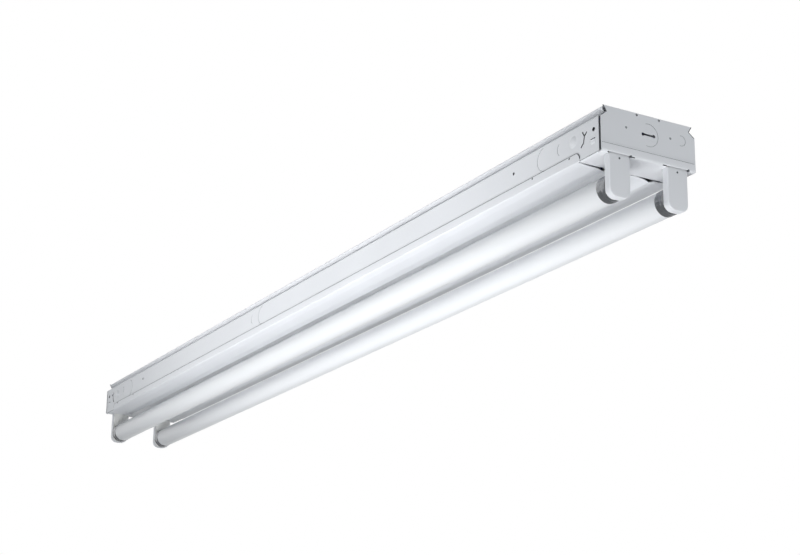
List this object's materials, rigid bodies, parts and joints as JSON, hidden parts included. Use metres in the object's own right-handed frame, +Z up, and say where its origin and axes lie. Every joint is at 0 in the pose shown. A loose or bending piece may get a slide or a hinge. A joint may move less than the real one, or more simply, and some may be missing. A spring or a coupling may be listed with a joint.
{
  "type": "fluorescent batten light",
  "caption": "Ceiling batten with a folded steel channel, clip-on cover, end saddles and turn-type lampholders that hold bare fluorescent tubes.",
  "frame": {"origin": "centre of the flat ceiling face of the housing", "axes": "+X along the lamps towards end a, +Z up out of the ceiling face, +Y across from lamp 1 to lamp 2"},
  "size_m": [1.2192, 0.1104, 0.0861],
  "materials": {
    "white_paint": "white baked enamel on cold-rolled steel sheet, semi-gloss",
    "white_plastic": "moulded white urea",
    "contact_bronze": "rolled phosphor bronze strip",
    "lamp_glass": "phosphor-coated soda-lime glass, opaque white",
    "cap_aluminium": "drawn and cleaned aluminium",
    "fibre_insulator": "pressed brown fibre board",
    "pin_brass": "drawn brass",
    "cathode_wire": "nickel wire and tungsten coil on a glass stem",
    "ballast_steel": "zinc-plated steel sheet",
    "circuit_board": "glass epoxy laminate",
    "copper_winding": "enamelled copper wire on ferrite",
    "capacitor_sleeve": "shrunk PVC sleeve",
    "screw_steel": "zinc-plated screw",
    "green_screw": "green dyed screw",
    "black_insulation": "extruded PVC",
    "white_insulation": "extruded PVC",
    "blue_insulation": "extruded PVC",
    "red_insulation": "extruded PVC",
    "orange_plastic": "moulded polycarbonate",
    "nylon": "moulded natural nylon"
  },
  "bodies": {
    "housing": {"housing_channel": "white_paint", "end_plate_a": "white_paint", "end_plate_b": "white_paint", "end_saddle_a": "white_paint", "end_saddle_b": "white_paint", "socket_shield_a1": "white_paint", "socket_shield_a2": "white_paint", "socket_shield_b1": "white_paint", "socket_shield_b2": "white_paint", "lampholder_a1": "white_plastic", "lampholder_a2": "white_plastic", "lampholder_b1": "white_plastic", "lampholder_b2": "white_plastic", "contacts_a1": "contact_bronze", "contacts_a2": "contact_bronze", "contacts_b1": "contact_bronze", "contacts_b2": "contact_bronze", "ballast_base": "ballast_steel", "ballast_case": "ballast_steel", "ballast_board": "circuit_board", "ballast_coils": "copper_winding", "ballast_capacitors": "capacitor_sleeve", "ballast_screws": "screw_steel", "ground_screw": "green_screw", "lead_black": "black_insulation", "lead_white": "white_insulation", "lead_blue_1": "blue_insulation", "lead_blue_2": "blue_insulation", "lead_red_1": "red_insulation", "lead_red_2": "red_insulation", "disconnect_plug": "orange_plastic", "disconnect_socket": "orange_plastic", "lead_clips": "nylon"},
    "cover": {"channel_cover": "white_paint"},
    "lamp_1": {"lamp_tube_1": "lamp_glass", "lamp_cap_a1": "cap_aluminium", "lamp_cap_b1": "cap_aluminium", "cap_insulator_a1": "fibre_insulator", "cap_insulator_b1": "fibre_insulator", "lamp_pins_a1": "pin_brass", "lamp_pins_b1": "pin_brass", "cathode_a1": "cathode_wire", "cathode_b1": "cathode_wire"},
    "lamp_2": {"lamp_tube_2": "lamp_glass", "lamp_cap_a2": "cap_aluminium", "lamp_cap_b2": "cap_aluminium", "cap_insulator_a2": "fibre_insulator", "cap_insulator_b2": "fibre_insulator", "lamp_pins_a2": "pin_brass", "lamp_pins_b2": "pin_brass", "cathode_a2": "cathode_wire", "cathode_b2": "cathode_wire"},
    "rotor_a1": {"rotor_a1": "white_plastic"},
    "rotor_a2": {"rotor_a2": "white_plastic"},
    "rotor_b1": {"rotor_b1": "white_plastic"},
    "rotor_b2": {"rotor_b2": "white_plastic"}
  },
  "joints": [
    {"name": "cover_drop", "type": "slide", "parent": "housing", "child": "cover", "axis": [0, 0, -1], "range_m": [0, 0.011]},
    {"name": "lamp_1_turn", "type": "hinge", "parent": "housing", "child": "lamp_1", "pos_m": [0, -0.033, -0.0732], "axis": [1, 0, 0], "range_deg": [0, 90]},
    {"name": "lamp_2_turn", "type": "hinge", "parent": "housing", "child": "lamp_2", "pos_m": [0, 0.033, -0.0732], "axis": [1, 0, 0], "range_deg": [0, 90]},
    {"name": "rotor_a1_turn", "type": "hinge", "parent": "housing", "child": "rotor_a1", "pos_m": [0.6035, -0.033, -0.0732], "axis": [1, 0, 0], "range_deg": [0, 90]},
    {"name": "rotor_b1_turn", "type": "hinge", "parent": "housing", "child": "rotor_b1", "pos_m": [-0.6035, -0.033, -0.0732], "axis": [1, 0, 0], "range_deg": [0, 90]},
    {"name": "rotor_a2_turn", "type": "hinge", "parent": "housing", "child": "rotor_a2", "pos_m": [0.6035, 0.033, -0.0732], "axis": [1, 0, 0], "range_deg": [0, 90]},
    {"name": "rotor_b2_turn", "type": "hinge", "parent": "housing", "child": "rotor_b2", "pos_m": [-0.6035, 0.033, -0.0732], "axis": [1, 0, 0], "range_deg": [0, 90]}
  ],
  "couplings": [
    {"joint": "rotor_a1_turn", "follows": "lamp_1_turn", "ratio": 1},
    {"joint": "rotor_b1_turn", "follows": "lamp_1_turn", "ratio": 1},
    {"joint": "rotor_a2_turn", "follows": "lamp_2_turn", "ratio": 1},
    {"joint": "rotor_b2_turn", "follows": "lamp_2_turn", "ratio": 1}
  ]
}
